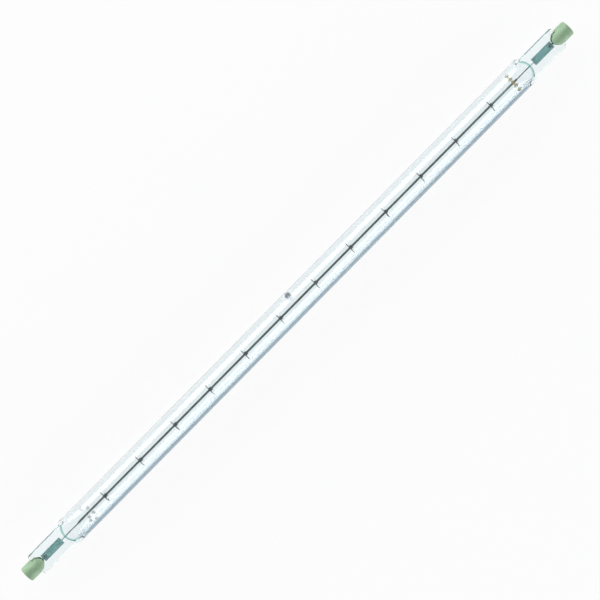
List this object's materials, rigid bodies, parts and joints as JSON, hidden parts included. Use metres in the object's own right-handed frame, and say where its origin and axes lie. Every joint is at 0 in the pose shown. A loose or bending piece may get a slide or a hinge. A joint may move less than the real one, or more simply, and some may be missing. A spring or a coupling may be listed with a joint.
{
  "type": "linear halogen lamp",
  "caption": "Double-ended linear halogen lamp: clear quartz tube with a supported filament coil, flat pinch seals and slotted ceramic end caps with recessed contacts.",
  "frame": {"origin": "middle of the lamp on its axis", "axes": "+X along the lamp's axis, +Z square to the flat faces of the pinches, +Y across the pinches on the exhaust tip's side"},
  "size_m": [0.3308, 0.014, 0.013],
  "materials": {
    "quartz": "clear, fire polished",
    "tungsten": "drawn wire, dark grey",
    "lead_wire": "drawn wire",
    "foil": "rolled foil, grey green through the quartz",
    "ceramic": "unglazed steatite, pale grey green",
    "contact": "nickel, pressed",
    "cement": "dry basing cement, fine grain"
  },
  "bodies": {
    "root": {"quartz_envelope": "quartz", "filament_coil": "tungsten", "filament_support_01": "tungsten", "filament_support_02": "tungsten", "filament_support_03": "tungsten", "filament_support_04": "tungsten", "filament_support_05": "tungsten", "filament_support_06": "tungsten", "filament_support_07": "tungsten", "filament_support_08": "tungsten", "filament_support_09": "tungsten", "filament_support_10": "tungsten", "filament_support_11": "tungsten", "filament_support_12": "tungsten", "inner_lead_left": "lead_wire", "outer_lead_left": "lead_wire", "foil_left": "foil", "ceramic_cap_left": "ceramic", "contact_left": "contact", "cap_cement_left": "cement", "inner_lead_right": "lead_wire", "outer_lead_right": "lead_wire", "foil_right": "foil", "ceramic_cap_right": "ceramic", "contact_right": "contact", "cap_cement_right": "cement"}
  },
  "joints": []
}
